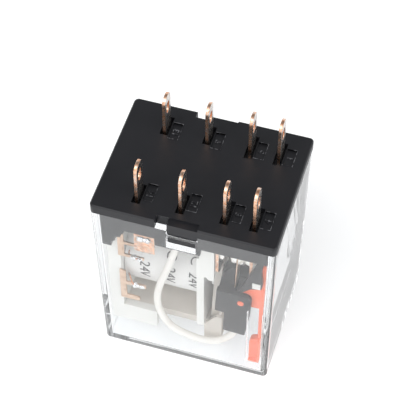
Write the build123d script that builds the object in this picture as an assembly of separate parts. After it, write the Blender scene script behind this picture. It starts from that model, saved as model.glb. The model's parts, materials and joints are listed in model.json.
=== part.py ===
from build123d import *

import os
from math import atan2, degrees, radians, tan

# A two-pole plug-in relay standing on its clear cover with the blades up.
# Millimetres. +X runs from the coil end to the contact end, -Y is the front, +Z along the blades.
# Origin: bottom centre of the cover's face.

# Housing
body_length = 28.0
body_width = 21.5
body_height = 35.6
corner_radius = 0.7
face_edge_radius = 0.25  # round the cover's face
rim_height = 1.7
cover_draft = 0.5  # how much each side comes in from the rim down to the cover's face
cover_wall = 1.0
cover_floor = 1.0
plug_gap = 0.07  # between the base's plug and the cover's wall, at the plug's lower edge
block_depth = 3.5  # solid part of the plug under the rim
skirt_wall = 0.8
curtain_right = 2.5  # where the skirt ends, towards the contacts
skirt_depth = 7.95  # rim to the lowest edge of the skirt
latch_gap = 0.1
notch_height = 0.9  # of the cover's notch under the rim
boss_drop = 0.85  # the boss fills the notch this far down
latch_left, latch_right = -2.3, 2.3
notch_left, notch_depth = -4.1, 1.2
window_low, window_high = 5.85, 3.3  # below the seating face
nose_rise = 0.85  # the latch nose's lower face above the window's

# Blades
blade_thickness = 0.5
blade_width = 2.6
blade_length = 7.0
blade_tip_radius = 1.2
blade_hole_width, blade_hole_height, blade_hole_drop = 1.2, 2.2, 2.5
row_pitch = 13.2
coil_blade_x = -7.7
common_blade_x = -1.1
open_blade_x = 5.5
closed_blade_x = 9.9
slot_width = 1.3
slot_depth = 1.2
panel_width, panel_length, panel_depth = 1.5, 3.1, 0.25
panel_web = 0.12  # between a slot and its panel
pad_ring_outer, pad_ring_inner, pad_ring_height = 0.85, 0.55, 0.12

# Coil
coil_drop = 12.6  # base's underside to the coil's axis
core_radius = 3.0
core_tail_radius = 2.5
pole_radius, pole_thickness = 4.2, 0.55
barrel_wall = 0.75
winding_radius = 6.9
tape_thickness = 0.3
tag_thickness = 0.3
tag_gap = 0.05  # between the tags and the flange behind them
left_flange_wall = 0.55  # from the yoke's short leg to the winding
right_flange_x = 1.6
right_flange_thickness = 1.15
turning_gap = 0.05  # round the core in its bore
skin_gap = 0.02  # between curved faces that lie on each other
magnet_wire_radius = 0.12
lug_radius = 0.55
lug_gap = 0.02  # between a lug and the fixed contact's tail beside it

# Yoke and hinge
yoke_thickness = 1.5
yoke_half_width = 7.0
yoke_drop = 9.25  # coil's axis to the top of the yoke's long leg
leg_rise = 6.5
leg_gap = 0.05
end_gap = 0.05  # between the yoke and the cover's end wall
pole_gap = 0.03  # left between pole and armature when it is pulled in
bracket_thickness = 0.5
bracket_drop = 3.4  # below the hinge line
ears_rise = 3.65  # above the hinge line
leaf_thickness = 0.2
leaf_half_width = 2.2
leaf_shank, leaf_head = 0.4, 0.75  # radii of the leaf's rivets

# Armature, its carrier and the moving springs
armature_thickness = 1.2
armature_half_width = 6.5
armature_height = 15.6
armature_foot = 0.8  # below the hinge line
carrier_low, carrier_high = 7.65, 13.2  # above the hinge line
carrier_tail = 2.75  # above the hinge line
carrier_right = 9.8
carrier_plate = 0.8
carrier_half_width = 8.9
spring_thickness = 0.2
spring_width = 2.0
rivet_y, rivet_shank, rivet_head = 5.3, 0.7, 1.0
joint_radius = 0.72  # solder on a spring's tail

# Contacts
contact_drop = 3.3  # base's underside to the contacts' centres
contact_radius = 1.2
fixed_head = 0.8
moving_head = 1.0
shank_radius = 0.5
fixed_tail = 0.8  # radius of a fixed contact's riveted end
strip_width = 3.0
strip_length = 7.5
open_foot_radius, closed_foot_cut = 1.2, 0.95
open_strip_jog = 0.8  # the open terminal steps this far towards the coil
closed_gap = 0.03
rest_gap = 0.06

# Indicator
lever_front, lever_back = -8.0, -7.4
lever_pivot_x, lever_pivot_drop = 11.0, 6.9
arm_front = -8.75  # of the arm that the lever hangs on
pivot_radius = 0.5
pivot_gap = 0.05
peg_x, peg_rise = 8.7, 11.05  # the peg, above the hinge line
peg_radius, peg_gap = 0.5, 0.12
pivot_head, pivot_flange = 0.62, 0.8  # half the square head, and the round flange behind
flag_floor_gap = 1.5
flag_height, flag_width = 6.0, 1.75
flag_front = -8.9
guide_offset, guide_pitch = 1.1, 2.4  # ribs in the cover on both sides of the flag
guide_thickness, guide_gap = 0.2, 0.22
guide_low, guide_high = 3.0, 17.0

# Leads
lead_diameter = 1.15
joint_gap = 0.12

# Places worked out from the sizes above
seat_z = body_height
rim_z = seat_z - rim_height
under_z = rim_z - block_depth
skirt_low_z = rim_z - skirt_depth
tip_z = seat_z + blade_length
row_y = row_pitch / 2
coil_z = under_z - coil_drop
yoke_top = coil_z - yoke_drop
hinge_z = yoke_top - yoke_thickness
contact_z = under_z - contact_drop
leg_top = coil_z + leg_rise


def half_length(z):
    """Half the cover's outer length at a height."""
    return body_length / 2 - cover_draft * (rim_z - z) / rim_z


def half_width(z):
    """Half the cover's outer width at a height."""
    return body_width / 2 - cover_draft * (rim_z - z) / rim_z


plug_half_length = half_length(skirt_low_z) - cover_wall - plug_gap
plug_half_width = half_width(skirt_low_z) - cover_wall - plug_gap
yoke_left = -(half_length(0) - cover_wall) + end_gap
yoke_inner = yoke_left + yoke_thickness
left_flange_x = yoke_inner + left_flange_wall  # face that the winding lies against
skirt_inner_x = plug_half_length - skirt_wall
skirt_inner_y = plug_half_width - skirt_wall
tag_front = -(skirt_inner_y - 2 * tag_gap)
tag_back = tag_front + tag_thickness
flange_half_width = -tag_back - tag_gap
right_flange_outer = right_flange_x + right_flange_thickness
pole_x = right_flange_outer + pole_thickness
hinge_x = pole_x + pole_gap
armature_outer = hinge_x + armature_thickness
open_strip_x = open_blade_x - open_strip_jog
open_face = open_strip_x + blade_thickness / 2 + fixed_head
closed_face = closed_blade_x - blade_thickness / 2 - fixed_head
spring_x = open_face + closed_gap + moving_head + spring_thickness / 2  # pulled in
spring_travel = closed_face - rest_gap - moving_head - spring_thickness / 2 - spring_x
open_angle = degrees(atan2(spring_travel, contact_z - hinge_z))
lever_pivot_z = under_z - lever_pivot_drop
peg_z = hinge_z + peg_rise
barrel_radius = core_radius + turning_gap + barrel_wall
joint_x = spring_x + spring_thickness / 2 + 0.62
joint_z = hinge_z + carrier_tail - 0.5


def block(x0, x1, y0, y1, z0, z1):
    """A box between two corners."""
    return Pos((x0 + x1) / 2, (y0 + y1) / 2, (z0 + z1) / 2) * Box(x1 - x0, y1 - y0, z1 - z0)


def rod(start, end, radius):
    """A round bar between two points."""
    axis = Vector(*end) - Vector(*start)
    return extrude(Plane(start, z_dir=axis) * Circle(radius), amount=axis.length)


def plate(points, y0, y1):
    """A flat plate across Y with an outline of (x, z) corners."""
    outline = Polyline(*[(x, y0, z) for x, z in points], close=True)
    return extrude(make_face(outline), amount=y1 - y0, dir=(0, 1, 0))


def both(shape):
    """The shape and its mirror image on the other pole's side."""
    return shape + mirror(shape, about=Plane.XZ)


def side(shape, sign):
    """A shape drawn at the front, or its mirror image at the back."""
    return mirror(shape, about=Plane.XZ) if sign > 0 else shape


def near(shape, axis, x, z):
    """The edge along an axis that lies nearest to a place in X and Z."""
    return shape.edges().filter_by(axis).sort_by(
        lambda e: (e.center().X - x) ** 2 + (e.center().Z - z) ** 2
    )[0]


def opened(shape):
    """Turns a piece drawn with the armature pulled in to where it rests."""
    return shape.rotate(Axis((hinge_x, 0, hinge_z), (0, 1, 0)), open_angle)


def cover():
    def shell(z0, z1, inset, radius):
        sections = [
            Pos(0, 0, z)
            * RectangleRounded(2 * (half_length(z) - inset), 2 * (half_width(z) - inset), radius)
            for z in (z0, z1)
        ]
        return loft(sections)

    outer = shell(0, rim_z, 0, corner_radius)
    outer = fillet(outer.faces().sort_by(Axis.Z)[0].edges(), face_edge_radius)
    body = outer - shell(cover_floor, rim_z + 1, cover_wall, corner_radius / 2)
    front = -body_width / 2 - 1
    window = block(
        latch_left - 0.15, latch_right - 0.25, front, -plug_half_width,
        seat_z - window_low, seat_z - window_high,
    )
    notch = block(
        latch_left - latch_gap, latch_right + latch_gap, front, -plug_half_width,
        rim_z - notch_height, rim_z + 1,
    )
    body -= both(window + notch)
    guide_left = lever_pivot_x - guide_offset
    for x in (guide_left, guide_left + guide_pitch):
        body += block(
            x, x + guide_thickness, -half_width(0) + cover_wall / 2, flag_front - guide_gap,
            guide_low, guide_high,
        )
    return body


def base():
    rim = extrude(
        Pos(0, 0, rim_z) * RectangleRounded(body_length, body_width, corner_radius),
        amount=rim_height,
    )
    rim = chamfer(rim.faces().sort_by(Axis.Z)[-1].edges(), 0.2)
    rim -= both(
        block(
            notch_left, latch_right, -body_width, -(body_width / 2 - notch_depth),
            rim_z - 1, seat_z + 1,
        )
    )
    outline = RectangleRounded(2 * plug_half_length, 2 * plug_half_width, corner_radius / 2)
    hollow = Rectangle(2 * skirt_inner_x, 2 * skirt_inner_y)
    plug = extrude(Pos(0, 0, under_z) * outline, amount=block_depth)
    skirt = extrude(Pos(0, 0, skirt_low_z) * (outline - hollow), amount=under_z - skirt_low_z)
    step_left = left_flange_x - 0.85
    window_left, window_right = left_flange_x + 1.1, notch_left - 0.3  # over the coil's pads
    curtain_low = skirt_low_z + 2.85
    free = [
        (step_left, skirt_low_z - 1),
        (step_left, skirt_low_z + 1.2),
        (step_left + 0.6, skirt_low_z + 1.5),
        (step_left + 0.65, skirt_low_z + 2.5),
        (step_left + 1.5, skirt_low_z + 2.7),
        (step_left + 1.55, skirt_low_z + 3.5),
        (window_left, skirt_low_z + 3.55),
        (window_left, under_z + 1),
        (window_right, under_z + 1),
        (window_right, curtain_low),
        (curtain_right, curtain_low),
        (curtain_right, under_z + 1),
        (body_length, under_z + 1),
        (body_length, skirt_low_z - 1),
    ]
    skirt -= plate(free, -body_width, body_width)
    body = rim + plug + skirt

    # Latch bosses: one fills the rim's notch, the nose below it snaps into the cover's window.
    boss = block(
        latch_left, latch_right, -(body_width / 2 - 0.1), -plug_half_width + 0.3,
        rim_z - boss_drop, seat_z - 0.4,
    )
    nose = block(
        latch_left, latch_right - 0.4, -(body_width / 2 - 0.4), -plug_half_width + 0.3,
        seat_z - window_low + nose_rise, seat_z - window_high - latch_gap,
    )
    nose = chamfer(near(nose, Axis.X, 0, 0), 0.3)
    body += both(boss + nose)

    # Slots round the blades, and the panels that the terminal numbers stand in.
    for x, short in (
        (coil_blade_x, True), (common_blade_x, True), (open_blade_x, False), (closed_blade_x, False)
    ):
        inner = row_y - (1.7 if short else 2.5)
        slot = block(
            x - slot_width / 2, x + slot_width / 2, -(row_y + 1.9), -inner,
            seat_z - slot_depth, seat_z + 1,
        )
        through = block(
            x - blade_thickness / 2, x + blade_thickness / 2,
            -(row_y + blade_width / 2), -(row_y - blade_width / 2), under_z - 1, seat_z + 1,
        )
        panel = block(
            x + slot_width / 2 + panel_web, x + slot_width / 2 + panel_web + panel_width,
            -(row_y + 1.0), -(row_y + 1.0 - panel_length), seat_z - panel_depth, seat_z + 1,
        )
        body -= both(slot + through + panel)

    # The arm that hangs from the skirt and carries the indicator's pivot.
    px, pz = lever_pivot_x, lever_pivot_z
    arm = plate(
        [
            (px + 0.1, under_z + 0.2), (px + 1.1, under_z + 0.2), (px + 0.65, pz + 3.5),
            (px + 0.9, pz + 0.6), (px + 0.8, pz - 0.6), (px - 0.9, pz - 1.2),
            (px - 2.1, pz - 2.5), (px - 2.65, pz - 2.4), (px - 1.65, pz + 0.6),
            (px - 0.05, pz + 5.5),
        ],
        arm_front, lever_front - 0.15,
    )
    arm -= rod((px, -body_width, pz), (px, 0, pz), pivot_radius + skin_gap / 2)
    return body + arm


def blade(x, low_z):
    """The flat blade that plugs into the socket, with its rounded tip and slotted hole."""
    half = blade_width / 2
    strip = block(
        x - blade_thickness / 2, x + blade_thickness / 2, -row_y - half, -row_y + half, low_z, tip_z
    )
    strip = fillet(strip.edges().filter_by(Axis.X).group_by(Axis.Z)[-1], blade_tip_radius)
    hole = extrude(
        Plane((x - 1, -row_y, tip_z - blade_hole_drop), x_dir=(0, 0, 1), z_dir=(1, 0, 0))
        * SlotOverall(blade_hole_height, blade_hole_width),
        amount=2,
    )
    return strip - hole


def coil_terminal():
    tail_z = under_z - 1.8
    half = blade_thickness / 2
    left, right = coil_blade_x - half, coil_blade_x + 2.95
    pad_front, pad_back = tag_front - 0.05, tag_back - 0.05
    body = blade(coil_blade_x, tail_z)
    body += block(left, coil_blade_x + half, pad_front, -row_y, tail_z, under_z)
    body += block(left, coil_blade_x + half, pad_front, pad_back, tail_z - 0.6, tail_z)
    body += block(left, right, pad_front, pad_back, under_z - 5.4, under_z - 1.2)
    ring_x, ring_z = left + 1.85, under_z - 4.2
    ring = rod(
        (ring_x, pad_front, ring_z), (ring_x, pad_front - pad_ring_height, ring_z), pad_ring_outer
    )
    ring -= rod((ring_x, pad_front + 1, ring_z), (ring_x, pad_front - 1, ring_z), pad_ring_inner)
    return body + ring


def common_terminal():
    half = blade_thickness / 2
    body = blade(common_blade_x, under_z - 0.1)
    return body + block(
        common_blade_x - half, common_blade_x + half, -row_y - 0.8, -row_y + 0.8,
        under_z - 2.8, under_z,
    )


def contact_terminal(blade_x, strip_x, cut):
    """A blade with the strip that its fixed contact is riveted to."""
    half = blade_thickness / 2
    low = under_z - strip_length
    strip = block(
        strip_x - half, strip_x + half, -row_y - strip_width / 2, -row_y + strip_width / 2,
        low, under_z,
    )
    foot = strip.edges().filter_by(Axis.X).group_by(Axis.Z)[0]
    if cut == "round":
        strip = fillet(foot, open_foot_radius)
    else:
        strip = chamfer(foot, closed_foot_cut)
    body = strip + blade(blade_x, under_z - blade_thickness)
    if strip_x != blade_x:
        body += block(
            strip_x - half, blade_x + half, -row_y - blade_width / 2, -row_y + blade_width / 2,
            under_z - blade_thickness, under_z,
        )
    return body - rod(
        (strip_x - 1, -row_y, contact_z), (strip_x + 1, -row_y, contact_z),
        shank_radius + skin_gap,
    )


def fixed_contact(strip_x, direction):
    """A rivet whose contact head faces along X, by direction."""
    half = blade_thickness / 2
    face = strip_x + direction * (half + fixed_head)
    head = rod(
        (strip_x + direction * half, -row_y, contact_z), (face, -row_y, contact_z), contact_radius
    )
    rim = head.faces().sort_by(Axis.X)[-1 if direction > 0 else 0].edges()
    head = chamfer(rim, 0.2)
    back = strip_x - direction * half
    head += rod((face, -row_y, contact_z), (back, -row_y, contact_z), shank_radius)
    return head + rod(
        (back, -row_y, contact_z), (back - direction * 0.25, -row_y, contact_z), fixed_tail
    )


def moving_contact():
    """The two-headed rivet in a moving spring."""
    def disc(direction):
        start = spring_x + direction * spring_thickness / 2
        end = start + direction * moving_head
        head = rod((start, -row_y, contact_z), (end, -row_y, contact_z), contact_radius)
        rim = head.faces().sort_by(Axis.X)[-1 if direction > 0 else 0].edges()
        return chamfer(rim, 0.25)

    shank = rod((spring_x - 0.5, -row_y, contact_z), (spring_x + 0.5, -row_y, contact_z), shank_radius)
    return disc(-1) + disc(1) + shank


def coil_tag_upper():
    x = left_flange_x - 0.25
    body = block(x, x + 1.0, tag_front, tag_back, coil_z + 4.8, under_z - 0.8)
    body += block(
        x, coil_blade_x - blade_thickness / 2, tag_front, tag_back, coil_z + 7.9, coil_z + 8.5
    )
    body += block(x, x + 4.1, tag_front, tag_back, coil_z + 4.8, coil_z + 5.4)
    return body + block(
        x - 0.15, x + 0.15, tag_back, -yoke_half_width, coil_z + 10, coil_z + 11
    )


def coil_tag_lower():
    x = left_flange_x - 0.25
    low = coil_z - 6.4
    body = block(x, x + 1.0, tag_front, tag_back, low, coil_z + 0.9)
    body += block(x, x + 4.2, tag_front, tag_back, coil_z - 2.6, coil_z - 1.9)
    pad = block(x, x + 3.1, tag_front, tag_back, low, low + 1)
    pad = fillet(pad.edges().filter_by(Axis.Y).group_by(Axis.X)[-1], 0.45)
    body += pad
    body += block(x - 0.15, x + 0.15, tag_back, -tag_back, low + 1, low + 1.6)
    body += block(x, x + 0.6, -tag_back, -tag_front, low + 0.8, under_z - 2.9)
    return body + block(
        x, coil_blade_x - blade_thickness / 2, -tag_back, -tag_front, coil_z + 7.9, coil_z + 8.5
    )


def bobbin():
    left = block(
        yoke_left, left_flange_x, -flange_half_width, flange_half_width, yoke_top, under_z
    )
    left -= block(
        yoke_left - 1, yoke_inner, -yoke_half_width - leg_gap, yoke_half_width + leg_gap,
        yoke_top - 1, leg_top + leg_gap,
    )
    left -= block(
        yoke_left - 1, -skirt_inner_x + plug_gap, -body_width, body_width,
        skirt_low_z - plug_gap, under_z + 1,
    )
    cheek = block(
        yoke_left, left_flange_x + 5.4, -flange_half_width + 0.1, -yoke_half_width - leg_gap,
        hinge_z - 2.4, yoke_top + 0.2,
    )
    right = block(
        right_flange_x, right_flange_outer, -flange_half_width, flange_half_width, yoke_top, under_z
    )
    right -= block(
        right_flange_x - 1, right_flange_x + 0.4, -body_width, body_width,
        coil_z + 8.4, under_z + 1,
    )
    lug_x = right_flange_outer + 1.0
    lug_front, lug_back = -flange_half_width, -(row_y + fixed_tail + lug_gap)
    lug_z = coil_z + 4.0
    lug = rod((lug_x, lug_front, lug_z), (lug_x, lug_back, lug_z), lug_radius)
    lug += block(right_flange_outer, lug_x + lug_radius, lug_front, lug_back, lug_z, under_z - 0.8)
    barrel = rod(
        (left_flange_x - 0.1, 0, coil_z), (right_flange_x + 0.1, 0, coil_z),
        barrel_radius,
    )
    body = left + both(cheek) + right + both(lug) + barrel
    body -= rod((-body_length, 0, coil_z), (body_length, 0, coil_z), core_radius + turning_gap)
    return body - coil_tag_upper() - coil_tag_lower()


def ring(inner, outer, x0, x1):
    """A tube round the coil's axis."""
    return rod((x0, 0, coil_z), (x1, 0, coil_z), outer) - rod(
        (x0 - 1, 0, coil_z), (x1 + 1, 0, coil_z), inner
    )


def core():
    body = rod((yoke_inner, 0, coil_z), (right_flange_outer, 0, coil_z), core_radius)
    body += rod((yoke_left, 0, coil_z), (yoke_inner, 0, coil_z), core_tail_radius)
    return body + rod((right_flange_outer, 0, coil_z), (pole_x, 0, coil_z), pole_radius)


def leaf_rivets(radius, low_z, high_z):
    """Two round bars through the leaf and the yoke above it."""
    return both(rod((-1.6, -1.1, low_z), (-1.6, -1.1, high_z), radius))


def yoke():
    long_leg = block(yoke_left, pole_x, -yoke_half_width, yoke_half_width, hinge_z, yoke_top)
    short_leg = block(yoke_left, yoke_inner, -yoke_half_width, yoke_half_width, hinge_z, leg_top)
    body = long_leg + short_leg
    body = fillet(near(body, Axis.Y, yoke_left, hinge_z), yoke_thickness * 0.7)
    body -= rod(
        (yoke_left - 1, 0, coil_z), (yoke_inner + 1, 0, coil_z), core_tail_radius + skin_gap
    )
    return body - leaf_rivets(leaf_shank + skin_gap, hinge_z - 1, hinge_z + 1.1)


def hinge_bracket():
    """The steel stirrup that keeps the armature on the yoke's end."""
    low = hinge_z - bracket_drop
    left, right = pole_x - 0.7, armature_outer + 0.75
    ear = plate(
        [
            (left, low), (right, low), (right + 0.2, hinge_z + ears_rise),
            (right - 0.9, hinge_z + ears_rise - 0.25), (left, hinge_z + 0.7),
        ],
        -(yoke_half_width + bracket_thickness), -yoke_half_width,
    )
    width = yoke_half_width + bracket_thickness
    return both(ear) + block(left, right, -width, width, low, low + bracket_thickness)


def return_spring():
    """A leaf riveted under the yoke, bent up behind the armature's foot."""
    t = leaf_thickness
    top = hinge_z - 0.05
    dip = hinge_z - armature_foot - 0.35
    back = armature_outer + 0.3
    body = block(-3.2, hinge_x - 1.0, -leaf_half_width, leaf_half_width, top - t, top)
    body += block(
        hinge_x - 1.0 - t, hinge_x - 1.0, -leaf_half_width, leaf_half_width, dip - t, top
    )
    body += block(hinge_x - 1.0 - t, back + t, -leaf_half_width, leaf_half_width, dip - t, dip)
    body += block(back, back + t, -leaf_half_width, leaf_half_width, dip - t, hinge_z + 3.1)
    return body - leaf_rivets(leaf_shank + skin_gap, hinge_z - 1, hinge_z + 1)


def spring_rivets():
    head_z = hinge_z - 0.05 - leaf_thickness
    return leaf_rivets(leaf_shank, head_z - 0.3, hinge_z + 1.05) + leaf_rivets(
        leaf_head, head_z - 0.3, head_z
    )


def carrier_rivets(radius, x0, x1):
    """Round bars where the armature's two rivets go."""
    return both(rod((x0, -rivet_y, coil_z), (x1, -rivet_y, coil_z), radius))


def armature():
    body = block(
        hinge_x, armature_outer, -armature_half_width, armature_half_width,
        hinge_z - armature_foot, hinge_z + armature_height,
    )
    body = fillet(body.edges().filter_by(Axis.X).group_by(Axis.Z)[-1], 0.8)
    return body - carrier_rivets(rivet_shank + skin_gap, 0, 10)


def armature_rivets():
    body = carrier_rivets(rivet_shank, hinge_x - 0.1, armature_outer + 1.4)
    return body + carrier_rivets(rivet_head, hinge_x - 0.4, hinge_x)


def moving_spring():
    half = spring_thickness / 2
    strip = block(
        spring_x - half, spring_x + half, -row_y - spring_width / 2, -row_y + spring_width / 2,
        carrier_tail + hinge_z - 0.9, contact_z + 1.8,
    )
    strip = fillet(strip.edges().filter_by(Axis.X).group_by(Axis.Z)[-1], 0.8)
    return strip - rod(
        (spring_x - 1, -row_y, contact_z), (spring_x + 1, -row_y, contact_z),
        shank_radius + skin_gap,
    )


def carrier():
    """The moulded block on the armature that holds both moving springs."""
    low, high = hinge_z + carrier_low, hinge_z + carrier_high
    inner = carrier_half_width - carrier_plate
    left = armature_outer
    body = block(left, spring_x + 0.62, -inner, inner, low, high)
    body -= block(
        spring_x + 0.27, body_length, -body_width, lever_back + 0.2, low - 1, high + 1
    )
    cheek = plate(
        [
            (left - 0.15, low), (left + 1.35, low), (left + 1.35, hinge_z + carrier_tail),
            (carrier_right - 0.4, hinge_z + carrier_tail), (carrier_right, low),
            (carrier_right, high), (left - 0.15, high),
        ],
        -carrier_half_width, -inner,
    )
    cheek = fillet(near(cheek, Axis.Y, carrier_right, high), 1.2)
    body += both(cheek)
    fin_front, fin_back = lever_back + 0.2, -row_y + 2.4
    left_fin = plate(
        [
            (left + 0.02, high - 0.1), (left + 0.06, high + 1.1), (left + 0.75, high + 3.2),
            (spring_x - 0.6, high + 4.5), (spring_x - 0.3, high + 4.5), (spring_x - 0.3, high - 0.1),
        ],
        fin_front, fin_back,
    )
    right_fin = block(spring_x + 0.4, spring_x + 1.7, fin_front, fin_back, high - 1.0, high + 2.8)
    body += both(left_fin + right_fin)
    body -= both(
        block(
            spring_x - spring_thickness / 2, spring_x + spring_thickness / 2,
            -row_y - spring_width / 2, -row_y + spring_width / 2, low - 1, high + 5,
        )
    )
    body -= carrier_rivets(rivet_shank + skin_gap, 0, armature_outer + 1.45)
    peg_hole = rod((peg_x, -body_width, peg_z), (peg_x, -inner + 0.3, peg_z), peg_radius + peg_gap)
    return opened(body) - peg_hole


def spring_joint():
    """Solder that holds a lead's end on a moving spring's tail."""
    bead = rod((joint_x, -row_y, joint_z), (joint_x, -row_y, joint_z + 1.3), joint_radius)
    tail = block(
        0, spring_x + spring_thickness / 2, -body_width, body_width, 0, body_height
    )
    return bead - tail


def terminal_joint():
    """Solder between a common terminal's tail and a lead's top end."""
    return block(
        common_blade_x - 0.4, common_blade_x + 0.4, -row_y - 1.9, -row_y - 0.8,
        under_z - 1.1, under_z - 0.2,
    )


def lead():
    """The insulated lead from a common terminal round to its moving spring."""
    foot = opened(Pos(joint_x, -row_y, joint_z) * Sphere(0.1)).center()
    low = hinge_z - 2.0
    route = [
        (common_blade_x, -skirt_inner_y + lead_diameter / 2 + tag_gap, under_z - 1.1 - joint_gap),
        (-1.9, -8.3, coil_z + 8.3),
        (-2.95, -8.5, coil_z + 3.9),
        (-4.4, -8.5, coil_z - 1.1),
        (-4.85, -8.5, coil_z - 5.0),
        (-4.2, -8.5, low + 4.0),
        (-2.7, -8.5, low + 1.3),
        (-0.3, -8.5, low),
        (3.0, -8.45, low - 0.65),
        (5.6, -8.3, low + 0.3),
        (7.7, -7.0, low + 1.9),
        (foot.X, foot.Y, foot.Z - joint_gap),
    ]
    points = [Vector(*p) for p in route]
    runs = [b - a for a, b in zip(points, points[1:])]
    radii = [
        0.45 * min(a.length, b.length) / tan(radians(a.get_angle(b)) / 2)
        for a, b in zip(runs, runs[1:])
    ]
    path = FilletPolyline(*points, radius=radii)
    print("lead radii", [round(r, 1) for r in radii], "length", round(path.length, 1))
    return sweep(Plane(path @ 0, z_dir=path % 0) * Circle(lead_diameter / 2), path=path)


def magnet_wires():
    x = left_flange_x + 0.8
    upper = rod(
        (x, -winding_radius + 0.35, coil_z + 3.7), (x + 1.4, tag_back - 0.15, coil_z + 4.65),
        magnet_wire_radius,
    )
    lower = rod(
        (x, -winding_radius - 0.35, coil_z - 1.5), (x + 1.2, tag_back - 0.15, coil_z - 1.75),
        magnet_wire_radius,
    )
    return upper + lower


def coil_solder():
    """Half-round beads of solder on the coil tags and over the coil terminal's pad."""
    x = left_flange_x
    beads = [
        (x + 1.7, x + 3.6, tag_front, coil_z + 5.1, 0.4),
        (x + 1.6, x + 3.7, tag_front, coil_z - 2.25, 0.42),
        (x + 2.95, x + 5.2, tag_front - 0.05, under_z - 1.95, 0.65),
    ]
    body = Part()
    for x0, x1, face, z, radius in beads:
        bead = rod((x0, face, z), (x1, face, z), radius)
        body += bead - block(x0 - 1, x1 + 1, face, 0, z - 1, z + 1)
    return body


def indicator_lever():
    px, pz = lever_pivot_x, lever_pivot_z
    arm_left, arm_right = px + 0.45, px + 1.05
    flag_right = arm_right - 0.1
    flag_low = cover_floor + flag_floor_gap
    flag_high = flag_low + flag_height
    body = plate(
        [
            (peg_x - 0.55, peg_z - 1.7), (peg_x - 0.55, peg_z + 0.9), (px - 0.78, pz - 0.62),
            (px - 0.78, pz + 0.4), (px - 0.1, pz + 1.3), (px + 0.75, pz + 4.2),
            (px + 1.3, pz + 4.2), (px + 1.45, pz + 1.0), (px + 1.5, pz - 3.8),
            (arm_right, pz - 6.4), (arm_right, flag_low), (arm_left, flag_low),
            (arm_left, pz - 6.9),
        ],
        lever_front, lever_back,
    )
    flag = block(
        flag_right - flag_width, flag_right, flag_front, lever_back, flag_low, flag_high
    )
    flag = fillet(near(flag, Axis.Y, flag_right - flag_width, flag_high), 1.2)
    flag -= block(
        0, flag_right - 0.35, flag_front - 1, flag_front + 0.45, flag_low + 0.35, body_height
    )
    body += flag
    body += rod((peg_x, lever_front + 0.1, peg_z), (peg_x, flag_front - 0.1, peg_z), peg_radius)
    return body - rod((px, -body_width, pz), (px, 0, pz), pivot_radius + pivot_gap)


def indicator_pivot():
    px, pz = lever_pivot_x, lever_pivot_z
    body = rod((px, arm_front, pz), (px, lever_back + 0.1, pz), pivot_radius)
    body += block(
        px - pivot_head, px + pivot_head, arm_front - 0.15, arm_front, pz - pivot_head, pz + pivot_head
    )
    return body + rod((px, lever_back + 0.1, pz), (px, lever_back + 0.35, pz), pivot_flange)


open_terminal = contact_terminal(open_blade_x, open_strip_x, "round")
closed_terminal = contact_terminal(closed_blade_x, closed_blade_x, "tapered")

nodes = {
    "base": base(),
    "cover": cover(),
    "coil_terminal_14": coil_terminal(),
    "coil_terminal_13": side(coil_terminal(), 1),
    "common_terminal_12": common_terminal(),
    "common_terminal_9": side(common_terminal(), 1),
    "open_terminal_8": open_terminal,
    "open_terminal_5": side(open_terminal, 1),
    "closed_terminal_4": closed_terminal,
    "closed_terminal_1": side(closed_terminal, 1),
    "open_contact_rivets": both(fixed_contact(open_strip_x, 1)),
    "closed_contact_rivets": both(fixed_contact(closed_blade_x, -1)),
    "bobbin": bobbin(),
    "coil_winding": ring(
        barrel_radius + skin_gap, winding_radius, left_flange_x + 0.02, right_flange_x - 0.02
    ),
    "coil_tape": ring(
        winding_radius + skin_gap, winding_radius + tape_thickness,
        left_flange_x + 0.1, right_flange_x - 0.1,
    ),
    "core": core(),
    "coil_tag_upper": coil_tag_upper(),
    "coil_tag_lower": coil_tag_lower(),
    "magnet_wire_ends": magnet_wires(),
    "coil_solder_joints": coil_solder(),
    "yoke": yoke(),
    "hinge_bracket": hinge_bracket(),
    "return_spring": return_spring(),
    "return_spring_rivets": spring_rivets(),
    "armature": opened(armature()),
    "armature_rivets": opened(armature_rivets()),
    "contact_carrier": carrier(),
    "moving_spring_front": opened(moving_spring()),
    "moving_spring_back": opened(side(moving_spring(), 1)),
    "moving_contact_rivets": opened(both(moving_contact())),
    "spring_solder_joints": opened(both(spring_joint())),
    "terminal_solder_joints": both(terminal_joint()),
    "lead_front": lead(),
    "lead_back": side(lead(), 1),
    "indicator_lever": indicator_lever(),
    "indicator_pivot": indicator_pivot(),
}

os.makedirs("parts", exist_ok=True)
for name, shape in nodes.items():
    export_step(shape, f"parts/{name}.step")
print("hinge", hinge_x, hinge_z, "open angle", open_angle)
print("pivot", lever_pivot_x, lever_pivot_z, "ratio", -(peg_z - hinge_z) / (lever_pivot_z - peg_z))
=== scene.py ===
import json
from math import cos, pi, radians, sin

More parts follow.
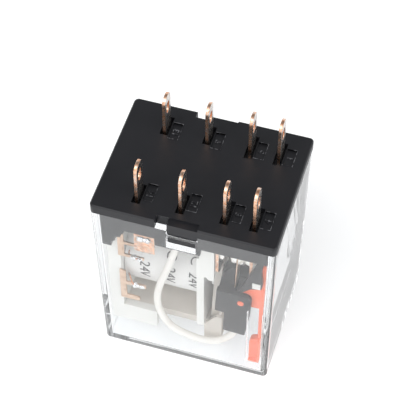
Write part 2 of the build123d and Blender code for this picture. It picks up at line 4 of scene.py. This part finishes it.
import bmesh
import bpy
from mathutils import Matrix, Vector


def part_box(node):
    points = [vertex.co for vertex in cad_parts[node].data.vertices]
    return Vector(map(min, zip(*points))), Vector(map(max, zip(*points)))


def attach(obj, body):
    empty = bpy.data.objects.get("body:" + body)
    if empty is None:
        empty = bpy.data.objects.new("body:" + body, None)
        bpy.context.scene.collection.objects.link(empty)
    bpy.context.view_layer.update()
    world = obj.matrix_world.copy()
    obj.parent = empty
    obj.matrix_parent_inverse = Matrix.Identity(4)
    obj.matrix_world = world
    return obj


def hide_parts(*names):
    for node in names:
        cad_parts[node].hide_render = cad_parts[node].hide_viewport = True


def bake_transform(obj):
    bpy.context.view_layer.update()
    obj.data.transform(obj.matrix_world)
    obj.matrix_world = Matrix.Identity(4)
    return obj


# A two-pole plug-in relay that stands on its clear cover with its blades up.
# Metres, in the frame's own axes: +X runs from the coil end to the contact end, -Y is the front
# and +Z points along the blades.
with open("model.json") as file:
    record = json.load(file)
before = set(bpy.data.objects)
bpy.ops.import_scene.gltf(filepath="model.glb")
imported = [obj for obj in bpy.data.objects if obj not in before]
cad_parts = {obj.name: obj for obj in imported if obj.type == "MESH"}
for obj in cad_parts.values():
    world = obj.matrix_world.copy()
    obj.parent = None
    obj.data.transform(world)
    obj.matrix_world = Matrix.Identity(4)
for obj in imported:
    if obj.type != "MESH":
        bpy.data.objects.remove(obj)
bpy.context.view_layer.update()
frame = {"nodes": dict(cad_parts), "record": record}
nodes = frame["nodes"]
MM = 0.001

# Places read from the frame
COVER_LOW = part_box("cover")[0]
BASE_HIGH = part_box("base")[1]
TAPE_LOW, TAPE_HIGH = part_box("coil_tape")
WINDING_LOW, WINDING_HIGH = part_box("coil_winding")
COIL_Z = (TAPE_LOW.z + TAPE_HIGH.z) / 2
TAPE_RADIUS = TAPE_HIGH.z - COIL_Z
WINDING_RADIUS = WINDING_HIGH.z - COIL_Z


# ---------------------------------------------------------------- camera, lights and floor

FLOOR_SIZE, FLOOR_GAP = 1.5, 0.05 * MM


def camera():
    """The viewpoint: in front, a little to the right, and well above."""
    azimuth, elevation, distance = radians(16.883), radians(54.072), 232.575 * MM
    target = Vector((0, 0, 18 * MM))
    back = Vector((
        sin(azimuth) * cos(elevation), -cos(azimuth) * cos(elevation), sin(elevation)
    ))
    data = bpy.data.cameras.new("camera")
    data.lens, data.sensor_width = 134.63, 36
    data.shift_x, data.shift_y = -0.0088, 0.1043
    data.clip_start, data.clip_end = 0.01, 20
    eye = bpy.data.objects.new("camera", data)
    eye.location = target + distance * back
    eye.rotation_euler = back.to_track_quat("Z", "Y").to_euler()
    bpy.context.scene.collection.objects.link(eye)
    bpy.context.scene.camera = eye


def softbox(name, place, target, width, height, power, colour=(1, 1, 1)):
    """A rectangular studio light aimed at a point."""
    data = bpy.data.lights.new(name, "AREA")
    data.shape, data.size, data.size_y = "RECTANGLE", width, height
    data.energy, data.color = power, colour
    lamp = bpy.data.objects.new(name, data)
    lamp.location = place
    lamp.rotation_euler = (Vector(place) - Vector(target)).to_track_quat("Z", "Y").to_euler()
    bpy.context.scene.collection.objects.link(lamp)


class Value:
    """A shader socket that takes part in ordinary sums."""

    def __init__(self, finish, socket):
        self.finish, self.socket = finish, socket

    def sum(self, operation, first, second):
        """A new value from two others."""
        return self.finish.node("ShaderNodeMath", {"operation": operation}, {0: first, 1: second})

    def __add__(self, other):
        return self.sum("ADD", self, other)

    def __sub__(self, other):
        return self.sum("SUBTRACT", self, other)

    def __rsub__(self, other):
        return self.sum("SUBTRACT", other, self)

    def __mul__(self, other):
        return self.sum("MULTIPLY", self, other)

    __radd__, __rmul__ = __add__, __mul__


class Finish:
    """A surface finish: a node tree that is written as sums of patterns."""

    def __init__(self, tree):
        self.tree = tree
        tree.nodes.clear()

    def node(self, kind, settings=None, sockets=None, output=0):
        """One node: its settings first, then the values or links of its sockets."""
        made = self.tree.nodes.new(kind)
        for key, value in (settings or {}).items():
            setattr(made, key, value)
        for key, value in (sockets or {}).items():
            self.feed(made.inputs[key], value)
        return Value(self, made.outputs[output])

    def feed(self, socket, value):
        """Links a value to a socket, or sets the socket to a constant."""
        if isinstance(value, Value):
            self.tree.links.new(value.socket, socket)
        elif isinstance(value, tuple) and len(value) == 3 and socket.type == "RGBA":
            socket.default_value = (*value, 1)
        else:
            socket.default_value = value

    def place(self):
        """Where a point is on the object."""
        return self.node("ShaderNodeTexCoord", output="Object")

    def stretched(self, scale, turn=(0, 0, 0)):
        """Object coordinates scaled differently along each axis."""
        return self.node(
            "ShaderNodeMapping", {}, {"Vector": self.place(), "Scale": scale, "Rotation": turn}
        )

    def noise(self, size, detail=2, where=None, rough=0.5):
        """Soft random patches of about this size in metres, from 0 to 1."""
        return self.node(
            "ShaderNodeTexNoise", {},
            {
                "Vector": where or self.place(), "Scale": 1 / size,
                "Detail": detail, "Roughness": rough,
            },
        )

    def cells(self, size):
        """Distance to the nearest of scattered points, in cells."""
        return self.node(
            "ShaderNodeTexVoronoi", {}, {"Vector": self.place(), "Scale": 1 / size}
        )

    def between(self, value, low, high, new_low=0.0, new_high=1.0):
        """The value moved from one range to another, held at both ends."""
        return self.node(
            "ShaderNodeMapRange", {"interpolation_type": "SMOOTHSTEP"},
            {
                "Value": value, "From Min": low, "From Max": high,
                "To Min": new_low, "To Max": new_high,
            },
        )

    def blend(self, amount, first, second):
        """A colour between two others."""
        return self.node(
            "ShaderNodeMix", {"data_type": "RGBA"},
            {"Factor": amount, 6: first, 7: second}, output=2,
        )

    def relief(self, height, depth):
        """A bumped normal, from a height between 0 and 1 and its depth in metres."""
        return self.node("ShaderNodeBump", {}, {"Height": height, "Distance": depth})

    def attribute(self, name):
        """A value stored on the mesh."""
        return self.node("ShaderNodeAttribute", {"attribute_name": name}, {}, output="Fac")

    def surface(self, sockets):
        """The main shader, with its constants and its patterns by socket name."""
        return self.node("ShaderNodeBsdfPrincipled", {}, sockets)

    def show(self, shader, kind="ShaderNodeOutputMaterial"):
        """Makes a shader the tree's result."""
        self.tree.links.new(shader.socket, self.tree.nodes.new(kind).inputs["Surface"])


def finish(name):
    """A new material and the tree that makes it."""
    material = bpy.data.materials.new(name)
    material.use_nodes = True
    return material, Finish(material.node_tree)


def studio():
    """A bright surround that is dimmer high up at the back, with a dark screen at the coil end."""
    world = bpy.data.worlds.new("studio")
    world.use_nodes = True
    bpy.context.scene.world = world
    f = Finish(world.node_tree)
    way = f.node("ShaderNodeTexCoord", output="Generated")
    split = f.node("ShaderNodeSeparateXYZ", {}, {0: way})
    up = Value(f, split.socket.node.outputs["Z"])
    ahead = Value(f, split.socket.node.outputs["Y"])
    height = f.between(up, 0.3, 0.75)
    rear = f.between(ahead, -0.35, 0.45)
    dim = height * rear
    beside = Value(f, split.socket.node.outputs["X"])
    screen = f.between(beside, -0.7, -0.9) * f.between(up, -0.05, 0.1)
    strength = 1.12 - 0.88 * dim - 0.8 * screen
    shade = f.node(
        "ShaderNodeBackground", {}, {"Color": (0.97, 0.985, 1.0), "Strength": strength}
    )
    f.show(shade, "ShaderNodeOutputWorld")


def floor():
    """A pale sheet just under the cover."""
    material, f = finish("pale_floor")
    f.show(f.surface({
        "Base Color": (0.93, 0.93, 0.93), "Roughness": 0.9,
        "Emission Color": (1.0, 1.0, 1.0), "Emission Strength": 0.22,
    }))
    mesh = bpy.data.meshes.new("floor")
    bm = bmesh.new()
    bmesh.ops.create_grid(bm, x_segments=1, y_segments=1, size=FLOOR_SIZE)
    bmesh.ops.translate(bm, verts=bm.verts, vec=(0, 0, COVER_LOW.z - FLOOR_GAP))
    bm.to_mesh(mesh)
    mesh.materials.append(material)
    plane = bpy.data.objects.new("floor", mesh)
    bpy.context.scene.collection.objects.link(plane)


# ---------------------------------------------------------------- finishes

def black_moulding():
    """Satin black thermoplastic with a fine spark-eroded grain."""
    material, f = finish("black_moulding")
    grain = f.noise(0.16 * MM, 3)
    patches = f.noise(5 * MM, 2)
    dust = f.between(f.cells(1.3 * MM), 0.0, 0.035, 1, 0)
    colour = f.blend(patches, (0.0085, 0.0088, 0.0115), (0.0125, 0.0125, 0.015))
    colour = f.blend(dust * 0.5, colour, (0.12, 0.12, 0.12))
    f.show(f.surface({
        "Base Color": colour,
        "Roughness": 0.36 + 0.1 * patches + 0.06 * grain,
        "IOR": 1.42,
        "Normal": f.relief(grain, 0.0035 * MM),
    }))
    return material


def clear_cover():
    """Clear polycarbonate with faint moulding flow and handling haze, which lets lamps through."""
    material, f = finish("clear_cover")
    flow = f.noise(9 * MM, 2, f.stretched((1, 1, 0.35)))
    haze = f.between(f.noise(4 * MM, 4, rough=0.6), 0.45, 0.8)
    slanted = f.stretched((1, 1, 0.04), (0.5, 0.35, 0))
    scratches = f.between(f.noise(0.5 * MM, 2, slanted), 0.7, 0.78)
    glass = f.surface({
        "Base Color": (0.965, 0.975, 0.98),
        "Transmission Weight": 1.0,
        "IOR": 1.56,
        "Roughness": 0.012 + 0.02 * haze + 0.03 * scratches,
        "Normal": f.relief(flow, 0.02 * MM),
    })
    clear = f.node("ShaderNodeBsdfTransparent", {}, {"Color": (0.96, 0.965, 0.97)})
    for ray in ("Is Diffuse Ray", "Is Shadow Ray"):
        path = f.node("ShaderNodeLightPath", output=ray)
        glass = f.node("ShaderNodeMixShader", {}, {0: path, 1: glass, 2: clear})
    f.show(glass)
    return material


def tinned_copper():
    """Bright tin on the rolled faces of the strip and bare copper where it was cut."""
    material, f = finish("tinned_copper")
    cut = f.attribute("cut")
    rolled = f.noise(0.08 * MM, 2, f.stretched((1, 1, 0.12)))
    stain = f.between(f.noise(0.7 * MM, 4, rough=0.65), 0.42, 0.72)
    smear = f.between(f.noise(0.45 * MM, 3, rough=0.6), 0.5, 0.62)
    tin = f.blend(stain, (0.66, 0.63, 0.60), (0.34, 0.30, 0.28))
    copper = f.blend(stain, (0.94, 0.58, 0.40), (0.54, 0.25, 0.13))
    copper = f.blend(smear * 0.7, copper, (0.74, 0.66, 0.60))
    f.show(f.surface({
        "Base Color": f.blend(cut, tin, copper),
        "Metallic": 1.0,
        "Roughness": 0.22 + 0.16 * stain + 0.08 * rolled,
        "Normal": f.relief(0.5 * rolled + 0.5 * smear, 0.006 * MM),
    }))
    return material


def bare_copper():
    """Springy copper strip, brushed along its length and a little tarnished."""
    material, f = finish("bare_copper")
    brushed = f.noise(0.07 * MM, 2, f.stretched((1, 1, 0.1)))
    tarnish = f.between(f.noise(1.1 * MM, 4, rough=0.6), 0.4, 0.75)
    f.show(f.surface({
        "Base Color": f.blend(tarnish, (0.76, 0.55, 0.41), (0.52, 0.32, 0.20)),
        "Metallic": 1.0,
        "Roughness": 0.26 + 0.16 * tarnish + 0.06 * brushed,
        "Normal": f.relief(brushed, 0.003 * MM),
    }))
    return material


def contact_silver():
    """Silver contact metal with darker spots where it has switched."""
    material, f = finish("contact_silver")
    pits = f.noise(0.12 * MM, 3)
    tarnish = f.between(f.noise(0.6 * MM, 3), 0.45, 0.75)
    f.show(f.surface({
        "Base Color": f.blend(tarnish, (0.90, 0.88, 0.84), (0.62, 0.57, 0.50)),
        "Metallic": 1.0,
        "Roughness": 0.24 + 0.2 * tarnish,
        "Normal": f.relief(pits, 0.004 * MM),
    }))
    return material


def solder():
    """Bright solder with the small wrinkles of a quick joint."""
    material, f = finish("solder")
    wrinkles = f.noise(0.28 * MM, 3)
    f.show(f.surface({
        "Base Color": f.blend(wrinkles, (0.70, 0.70, 0.72), (0.92, 0.92, 0.93)),
        "Metallic": 1.0,
        "Roughness": 0.14 + 0.16 * wrinkles,
        "Normal": f.relief(wrinkles, 0.05 * MM),
    }))
    return material


def white_moulding():
    """Natural nylon: warm white, slightly glossy, with soft sink marks."""
    material, f = finish("white_moulding")
    cloud = f.noise(3.5 * MM, 3)
    grain = f.noise(0.2 * MM, 2)
    f.show(f.surface({
        "Base Color": f.blend(cloud, (0.70, 0.685, 0.645), (0.76, 0.75, 0.715)),
        "Roughness": 0.34 + 0.12 * grain,
        "IOR": 1.53,
        "Normal": f.relief(0.7 * cloud + 0.3 * grain, 0.02 * MM),
    }))
    return material


def enamelled_wire():
    """Red-brown enamelled copper wire."""
    material, f = finish("enamelled_wire")
    patches = f.noise(0.9 * MM, 3)
    f.show(f.surface({
        "Base Color": f.blend(patches, (0.55, 0.20, 0.09), (0.75, 0.34, 0.17)),
        "Metallic": 0.85,
        "Roughness": 0.28 + 0.12 * patches,
        "Coat Weight": 0.6,
        "Coat Roughness": 0.12,
    }))
    return material


def white_tape():
    """Thin polyester tape, lightly wrinkled round the winding under it."""
    material, f = finish("white_tape")
    turns = f.noise(0.35 * MM, 2, f.stretched((1, 0.08, 0.08)))
    creases = f.noise(1.8 * MM, 3, f.stretched((0.5, 1, 1)))
    f.show(f.surface({
        "Base Color": f.blend(creases, (0.70, 0.68, 0.65), (0.77, 0.755, 0.735)),
        "Roughness": 0.30 + 0.15 * creases,
        "IOR": 1.5,
        "Normal": f.relief(0.35 * turns + 0.65 * creases, 0.03 * MM),
    }))
    return material


def plated_iron():
    """Soft iron strip with a dull zinc plating and faint rolling lines."""
    material, f = finish("plated_iron")
    rolling = f.noise(0.12 * MM, 3, f.stretched((0.06, 1, 1)))
    cloud = f.noise(2.4 * MM, 4, rough=0.6)
    spots = f.between(f.cells(0.9 * MM), 0.0, 0.12, 1, 0)
    colour = f.blend(cloud, (0.60, 0.55, 0.49), (0.74, 0.69, 0.63))
    f.show(f.surface({
        "Base Color": f.blend(spots * 0.35, colour, (0.25, 0.22, 0.20)),
        "Metallic": 0.5,
        "Roughness": 0.42 + 0.14 * cloud + 0.06 * rolling,
        "Normal": f.relief(0.6 * rolling + 0.4 * cloud, 0.008 * MM),
    }))
    return material


def spring_steel():
    """Hard rolled steel, brighter than the iron."""
    material, f = finish("spring_steel")
    rolled = f.noise(0.09 * MM, 2, f.stretched((0.1, 1, 1)))
    cloud = f.noise(1.5 * MM, 3)
    f.show(f.surface({
        "Base Color": f.blend(cloud, (0.60, 0.59, 0.57), (0.74, 0.73, 0.71)),
        "Metallic": 1.0,
        "Roughness": 0.22 + 0.12 * cloud,
        "Normal": f.relief(rolled, 0.004 * MM),
    }))
    return material


def white_sleeve():
    """Soft white insulation with a slight drawn texture."""
    material, f = finish("white_sleeve")
    skin = f.noise(0.22 * MM, 3)
    grime = f.between(f.noise(2.2 * MM, 3), 0.5, 0.85)
    f.show(f.surface({
        "Base Color": f.blend(grime, (0.78, 0.75, 0.70), (0.70, 0.65, 0.59)),
        "Roughness": 0.42 + 0.1 * skin,
        "IOR": 1.45,
        "Normal": f.relief(skin, 0.006 * MM),
    }))
    return material


def orange_moulding():
    """Bright orange indicator plastic."""
    material, f = finish("orange_moulding")
    cloud = f.noise(1.6 * MM, 3)
    grain = f.noise(0.18 * MM, 2)
    f.show(f.surface({
        "Base Color": f.blend(cloud, (0.84, 0.13, 0.05), (0.92, 0.21, 0.10)),
        "Roughness": 0.32 + 0.12 * grain,
        "IOR": 1.5,
        "Normal": f.relief(grain, 0.004 * MM),
    }))
    return material


def black_ink():
    """Printed ink, thin in places."""
    material, f = finish("black_ink")
    thin = f.noise(0.25 * MM, 3)
    f.show(f.surface({
        "Base Color": f.blend(f.between(thin, 0.45, 0.8), (0.02, 0.018, 0.02), (0.10, 0.08, 0.08)),
        "Roughness": 0.45 + 0.2 * thin,
    }))
    return material


def painted_glint_moulding():
    """The base's black plastic with painted pale highlights in broken lines, standing in for fine
    edges catching the light.
    """
    material, f = finish("painted_glint_moulding")
    # painted highlight: pale dashes over the black, as glints on fine raised edges
    broken = f.between(f.noise(0.5 * MM, 3), 0.46, 0.6)
    f.show(f.surface({
        "Base Color": f.blend(broken, (0.015, 0.015, 0.018), (0.16, 0.16, 0.17)),
        "Roughness": 0.35 + 0.1 * broken,
    }))
    return material


FINISHES = {
    "black_moulding": black_moulding(),
    "clear_cover": clear_cover(),
    "tinned_copper": tinned_copper(),
    "bare_copper": bare_copper(),
    "contact_silver": contact_silver(),
    "solder": solder(),
    "white_moulding": white_moulding(),
    "enamelled_wire": enamelled_wire(),
    "white_tape": white_tape(),
    "soft_iron": plated_iron(),
    "spring_steel": spring_steel(),
    "white_sleeve": white_sleeve(),
    "orange_moulding": orange_moulding(),
}
BLACK_INK = black_ink()
# Painted highlights: the raised numbers and panel borders get pale glint dashes.
NUMBER_PAINTED_GLINTS = painted_glint_moulding()

BODY_OF = {
    node: body
    for body, members in frame["record"]["behaviour"]["bodies"].items() for node in members
}
SLOT_OF = {part["node"]: part["material_slot"] for part in frame["record"]["subparts"]}


# ---------------------------------------------------------------- making pieces

def piece(name, bm, slot, body, replaced=(), material=None, smooth=40):
    """A finished mesh as a piece that rides on a body."""
    mesh = bpy.data.meshes.new(name)
    bm.to_mesh(mesh)
    bm.free()
    mesh.materials.append(material or FINISHES[slot])
    mesh.polygons.foreach_set("use_smooth", [True] * len(mesh.polygons))
    mesh.set_sharp_from_angle(angle=radians(smooth))
    made = bpy.data.objects.new(name, mesh)
    bpy.context.scene.collection.objects.link(made)
    weigh = made.modifiers.new("even_shading", "WEIGHTED_NORMAL")
    weigh.keep_sharp = True
    if body:
        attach(made, body)
    if replaced:
        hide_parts(*replaced)
    return made


def merged_copy(node):
    """A CAD node's shape as one closed mesh, with its flat faces whole."""
    bm = bmesh.new()
    bm.from_mesh(nodes[node].data)
    bmesh.ops.remove_doubles(bm, verts=bm.verts, dist=0.002 * MM)
    bmesh.ops.dissolve_limit(bm, angle_limit=radians(0.4), verts=bm.verts, edges=bm.edges)
    return bm


def soften(bm, radius):
    """Rounds every crisp edge by a small radius."""
    crisp = [e for e in bm.edges if e.is_manifold and e.calc_face_angle(0) > radians(35)]
    bmesh.ops.bevel(
        bm, geom=crisp, offset=radius, offset_type="OFFSET", segments=2, profile=0.5,
        affect="EDGES", clamp_overlap=True, material=-1,
    )


def turned(profile, steps):
    """A ring round the coil's axis, from a closed outline of (x, radius) corners."""
    bm = bmesh.new()
    verts = [bm.verts.new((x, 0, COIL_Z + radius)) for x, radius in profile]
    edges = [bm.edges.new(pair) for pair in zip(verts, verts[1:] + verts[:1])]
    bmesh.ops.spin(
        bm, geom=verts + edges, cent=(0, 0, COIL_Z), axis=(1, 0, 0), angle=2 * pi, steps=steps,
        use_merge=True,
    )
    bmesh.ops.recalc_face_normals(bm, faces=bm.faces)
    return bm


def solid_of(data):
    """A curve or a text as a mesh."""
    maker = bpy.data.objects.new("maker", data)
    bpy.context.scene.collection.objects.link(maker)
    bpy.context.view_layer.update()
    mesh = bpy.data.meshes.new_from_object(maker)
    bpy.data.objects.remove(maker)
    bm = bmesh.new()
    bm.from_mesh(mesh)
    bpy.data.meshes.remove(mesh)
    return bm


def tube(points, radius, fine=6):
    """A round wire whose centre line is drawn towards points in millimetres."""
    data = bpy.data.curves.new("line", "CURVE")
    data.dimensions = "3D"
    spline = data.splines.new("NURBS")
    spline.points.add(len(points) - 1)
    for control, (x, y, z) in zip(spline.points, points):
        control.co = (x * MM, y * MM, z * MM, 1)
    spline.order_u = 3
    spline.use_endpoint_u = True
    data.resolution_u = 12
    data.bevel_depth, data.bevel_resolution = radius * MM, fine
    data.use_fill_caps = True
    return solid_of(data)


def lettering(words, size, thickness):
    """Raised generic marks in the XY plane, from their lower left corner."""
    data = bpy.data.curves.new("marks", "FONT")
    data.body, data.size, data.extrude = words, size * MM, thickness * MM / 2
    return solid_of(data)


def add(target, source):
    """Moves one mesh into another."""
    mesh = bpy.data.meshes.new("part")
    source.to_mesh(mesh)
    source.free()
    target.from_mesh(mesh)
    bpy.data.meshes.remove(mesh)


def box_mesh(x0, x1, y0, y1, z0, z1):
    """A box between two corners."""
    bm = bmesh.new()
    made = bmesh.ops.create_cube(bm, size=1)
    for vert in made["verts"]:
        vert.co = (
            (x0 + x1) / 2 + vert.co.x * (x1 - x0),
            (y0 + y1) / 2 + vert.co.y * (y1 - y0),
            (z0 + z1) / 2 + vert.co.z * (z1 - z0),
        )
    return bm


def mirrored(bm):
    """The same shape on the other pole's side."""
    for vert in bm.verts:
        vert.co.y = -vert.co.y
    bmesh.ops.reverse_faces(bm, faces=bm.faces)
    return bm


USUAL_EDGE_RADIUS = 0.05 * MM
EDGE_RADIUS = {"base": 0.08 * MM, "cover": 0.0}


def finished_node(node):
    """A CAD node with its edges softened and its finish on."""
    slot = SLOT_OF[node]
    bm = merged_copy(node)
    radius = EDGE_RADIUS.get(node, USUAL_EDGE_RADIUS)
    if radius:
        soften(bm, radius)
    bm.normal_update()
    if slot == "tinned_copper":
        cut = bm.faces.layers.float.new("cut")
        for face in bm.faces:
            face[cut] = 0.0 if abs(face.normal.x) > 0.9 else 1.0
    return piece(f"finished_{node}", bm, slot, BODY_OF[node], [node])


# ---------------------------------------------------------------- coil

def wound_wire():
    """The winding, with a shallow groove between its turns."""
    low, high = WINDING_LOW.x, WINDING_HIGH.x
    turns, inner, depth = 46, 3.85 * MM, 0.06 * MM  # across the bobbin; its barrel; the grooves
    pitch = (high - low) / turns
    profile = [(low, inner)]
    for turn in range(turns):
        for share, drop in ((0.0, 1.0), (0.25, 0.25), (0.5, 0.0), (0.75, 0.25)):
            profile.append((low + (turn + share) * pitch, WINDING_RADIUS - drop * depth))
    profile += [(high, WINDING_RADIUS - depth), (high, inner)]
    piece(
        "wound_coil", turned(profile, 96), SLOT_OF["coil_winding"], "root", ["coil_winding"],
        smooth=60,
    )


LAP_ANGLE = radians(128)  # where the tape ends, from the top over the front
LAP_STEP, WRINKLE = 0.09 * MM, 0.012 * MM


def tape_radius(angle, along):
    """The tape's outer radius: one thickness less before its end, and a few soft wrinkles."""
    past = (angle - LAP_ANGLE) % (2 * pi) / (2 * pi)
    wrinkles = sin(7 * angle + 900 * along) * sin(3 * angle - 500 * along) + sin(1700 * along)
    return TAPE_RADIUS - LAP_STEP * (1 - past) + WRINKLE * (wrinkles - 1)


def wrapped_tape():
    """The tape over the winding, as a ring whose outside follows the lap and the wrinkles."""
    low, high = TAPE_LOW.x, TAPE_HIGH.x
    inner, rows = WINDING_RADIUS + 0.02 * MM, 20
    profile = [(low, inner)]
    profile += [(low + (high - low) * row / rows, TAPE_RADIUS) for row in range(rows + 1)]
    profile.append((high, inner))
    bm = turned(profile, 180)
    for vert in bm.verts:
        y, z = vert.co.y, vert.co.z - COIL_Z
        radius = (y * y + z * z) ** 0.5
        if radius > inner + 0.1 * MM:
            angle = Vector((z, -y)).angle_signed(Vector((1, 0))) % (2 * pi)
            grown = tape_radius(angle, vert.co.x - low) / radius
            vert.co.y, vert.co.z = y * grown, COIL_Z + z * grown
    piece("wrapped_tape", bm, SLOT_OF["coil_tape"], "root", ["coil_tape"], smooth=50)


def coil_print():
    """The coil's voltage, printed three times down the front of the tape."""
    size, thickness, start = 2.3, 0.02, radians(35)  # mm, mm, from the top over the front
    radius = TAPE_RADIUS + 0.012 * MM
    whole = bmesh.new()
    for column in (-7.8, -3.75, 0.0):
        bm = lettering("DC  24V", size, thickness)
        long_edges = [edge for edge in bm.edges if edge.calc_length() > 0.4 * MM]
        bmesh.ops.subdivide_edges(bm, edges=long_edges, cuts=2)
        for vert in bm.verts:
            along, across, out = vert.co
            angle = start + along / TAPE_RADIUS
            vert.co = (
                column * MM + across,
                -(radius + out) * sin(angle),
                COIL_Z + (radius + out) * cos(angle),
            )
        add(whole, bm)
    piece("coil_print", whole, "black_moulding", "root", material=BLACK_INK, smooth=30)


WIRE_RADIUS = 0.12  # mm


def wire_tails():
    """The two ends of the winding, led round to their tags."""
    z = COIL_Z / MM
    upper = (
        (-9.6, -6.5, z + 3.5), (-9.45, -7.4, z + 4.3), (-8.9, -8.2, z + 4.5),
        (-8.2, -8.75, z + 4.9), (-7.6, -8.85, z + 5.3),
    )
    lower = (
        (-9.6, -7.3, z - 1.5), (-9.3, -7.9, z - 0.9), (-8.9, -8.4, z - 1.3),
        (-8.5, -8.85, z - 2.0), (-7.9, -8.9, z - 2.3),
    )
    whole = bmesh.new()
    for points in (upper, lower):
        add(whole, tube(points, WIRE_RADIUS, 3))
    piece("wire_tails", whole, SLOT_OF["magnet_wire_ends"], "root", ["magnet_wire_ends"], smooth=60)


def lump(bm, x0, x1, y, z, radius, seed):
    """A drop of solder that has run along a tag."""
    made = bmesh.ops.create_icosphere(bm, subdivisions=4, radius=1)
    for vert in made["verts"]:
        a, b, c = vert.co
        swell = 1 + 0.12 * sin(5 * a + seed) + 0.07 * sin(7 * c + 2 * seed)
        swell += 0.05 * sin(9 * b + seed)
        vert.co = (
            ((x0 + x1) / 2 + a * (x1 - x0) / 2) * MM,
            (y + b * radius * swell) * MM,
            (z + c * radius * swell) * MM,
        )


def coil_lumps():
    """Solder on both tags' hooks and across the pad of the front coil terminal."""
    z, top = COIL_Z / MM, BASE_HIGH.z / MM - 5.2
    whole = bmesh.new()
    for x0, x1, y, height, radius, seed in (
        (-8.75, -7.5, -8.62, z + 5.1, 0.42, 1), (-7.8, -6.75, -8.65, z + 5.05, 0.36, 2),
        (-8.8, -7.4, -8.62, z - 2.25, 0.44, 3), (-7.6, -6.6, -8.65, z - 2.3, 0.34, 4),
        (-7.5, -6.2, -8.72, top - 1.9, 0.62, 5), (-6.6, -5.2, -8.72, top - 2.0, 0.52, 6),
    ):
        lump(whole, x0, x1, y, height, radius, seed)
    piece("solder_lumps", whole, "solder", "root", ["coil_solder_joints"], smooth=80)


# ---------------------------------------------------------------- leads

LEAD_ROUTE = (  # mm, from under a common blade round to a moving spring's tail
    (-1.1, -8.14, 29.18), (-1.9, -8.3, 26.1), (-2.95, -8.5, 21.7), (-4.4, -8.5, 16.7),
    (-4.85, -8.5, 12.8), (-4.2, -8.5, 9.05), (-2.7, -8.5, 6.35), (-0.3, -8.5, 5.05),
    (3.0, -8.45, 4.4), (5.6, -8.3, 5.35), (7.7, -7.0, 6.95), (7.69, -6.6, 9.0),
)


LEAD_RADIUS = 0.575  # mm


def leads():
    """Both sleeved leads, which bend between the base and the moving springs."""
    for name, at_back in (("lead_front", False), ("lead_back", True)):
        bm = tube(LEAD_ROUTE, LEAD_RADIUS, 8)
        if at_back:
            mirrored(bm)
        made = piece(f"sleeved_{name}", bm, SLOT_OF[name], None, [name], smooth=60)
        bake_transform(made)


# ---------------------------------------------------------------- base

TERMINALS = ((-7.7, "14", "13"), (-1.1, "12", "9"), (5.5, "8", "5"), (9.9, "4", "1"))  # x in mm
PANEL_LEFT, PANEL_RIGHT = 0.77, 2.27  # mm from the blade's middle
PANEL_MIDDLE, PANEL_HALF = 6.05, 1.55  # mm in Y
RIB, RIB_FOOT, RIB_TOP = 0.06, 0.24, 0.05  # mm: width, below and above the base's face
FIGURE_SIZE, FIGURE_HEIGHT, FIGURE_FOOT = 1.35, 0.16, 0.2  # mm


def terminal_numbers():
    """The raised terminal numbers, each in its own sunk panel with a fine raised border, all
    carrying painted pale highlight dashes.
    """
    top = BASE_HIGH.z / MM
    whole = bmesh.new()
    for blade_x, front, back in TERMINALS:
        for words, middle in ((front, -PANEL_MIDDLE), (back, PANEL_MIDDLE)):
            left, right = blade_x + PANEL_LEFT, blade_x + PANEL_RIGHT
            near, far = middle - PANEL_HALF, middle + PANEL_HALF
            bm = lettering(words, FIGURE_SIZE, FIGURE_HEIGHT)
            low = min(vert.co.x for vert in bm.verts)
            high = max(vert.co.x for vert in bm.verts)
            for vert in bm.verts:
                along, across, out = vert.co
                vert.co = (
                    (right - 0.27) * MM - across,
                    middle * MM + along - (low + high) / 2,
                    (top - FIGURE_FOOT) * MM + out,
                )
            add(whole, bm)
            for x0, x1, y0, y1 in (
                (left - RIB, right + RIB, near - RIB, near),
                (left - RIB, right + RIB, far, far + RIB),
                (right, right + RIB, near, far),
            ):
                add(whole, box_mesh(
                    x0 * MM, x1 * MM, y0 * MM, y1 * MM, (top - RIB_FOOT) * MM, (top + RIB_TOP) * MM
                ))
    # The figures and borders carry painted pale highlight dashes, not real wear.
    piece("terminal_numbers", whole, "black_moulding", "root", material=NUMBER_PAINTED_GLINTS, smooth=30)


# ---------------------------------------------------------------- the whole relay

MADE_HERE = (
    "coil_winding", "coil_tape", "magnet_wire_ends", "coil_solder_joints", "lead_front", "lead_back"
)
for node in nodes:
    if node not in MADE_HERE:
        finished_node(node)
wound_wire()
wrapped_tape()
coil_print()
wire_tails()
coil_lumps()
leads()
terminal_numbers()

camera()
studio()
floor()
softbox("key_softbox", (-0.25, -0.55, 0.75), (0, 0, 0.02), 0.7, 0.6, 3.2)
softbox("fill_softbox", (0.75, -0.15, 0.30), (0, 0, 0.02), 0.6, 0.5, 1.8)
bpy.context.scene.view_settings.view_transform = "Standard"
cycles = bpy.context.scene.cycles
cycles.max_bounces = cycles.transmission_bounces = 32
cycles.glossy_bounces = cycles.transparent_max_bounces = 16
